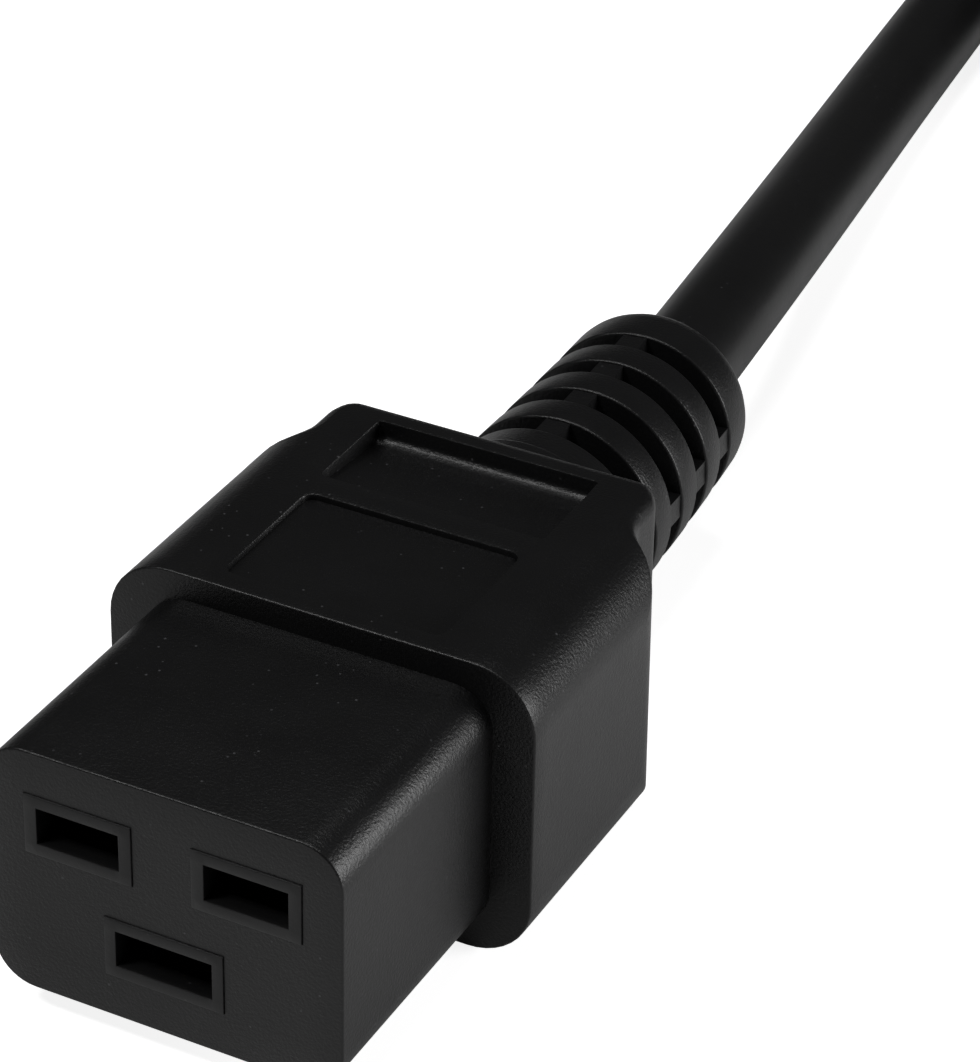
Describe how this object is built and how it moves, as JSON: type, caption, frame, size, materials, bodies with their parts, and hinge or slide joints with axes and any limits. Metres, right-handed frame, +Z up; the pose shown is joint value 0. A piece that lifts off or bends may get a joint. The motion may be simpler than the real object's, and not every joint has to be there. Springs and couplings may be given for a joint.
{
  "type": "c19 power connector",
  "caption": "Moulded C19 power connector with a slotted strain relief on a round black cord, the rest of the cord coiled and tied with its C20 plug",
  "frame": {"origin": "bottom centre of the connector and its strain relief, on the surface its flat underside rests on; the cord, its coil and the plug are not counted", "axes": "+Y from the connector's mating face towards its cord, +Z up out of the face with the thumb hollow, +X to the right of someone who looks at the mating face"},
  "size_m": [0.1303, 0.2925, 0.0261],
  "materials": {
    "moulding": "matte",
    "carrier": "matte",
    "filler": "matte",
    "cord_sheath": "satin",
    "line_insulation": "satin",
    "neutral_insulation": "satin",
    "earth_insulation": "satin",
    "contact_brass": "satin",
    "pin_brass": "polished",
    "copper": "satin",
    "tie_fabric": "woven"
  },
  "bodies": {
    "root": {"connector_moulding": "moulding", "contact_carrier": "carrier", "connector_filler": "filler", "line_contact": "contact_brass", "line_conductor": "copper", "line_core": "line_insulation", "neutral_contact": "contact_brass", "neutral_conductor": "copper", "neutral_core": "neutral_insulation", "earth_contact": "contact_brass", "earth_conductor": "copper", "earth_core": "earth_insulation", "cord_run": "cord_sheath", "cord_coil": "cord_sheath", "cord_tail": "cord_sheath", "coil_tie": "tie_fabric", "plug_moulding": "moulding", "plug_insert": "carrier", "plug_filler": "filler", "plug_line_pin": "pin_brass", "plug_line_conductor": "copper", "plug_line_core": "line_insulation", "plug_neutral_pin": "pin_brass", "plug_neutral_conductor": "copper", "plug_neutral_core": "neutral_insulation", "plug_earth_pin": "pin_brass", "plug_earth_conductor": "copper", "plug_earth_core": "earth_insulation"}
  },
  "joints": []
}
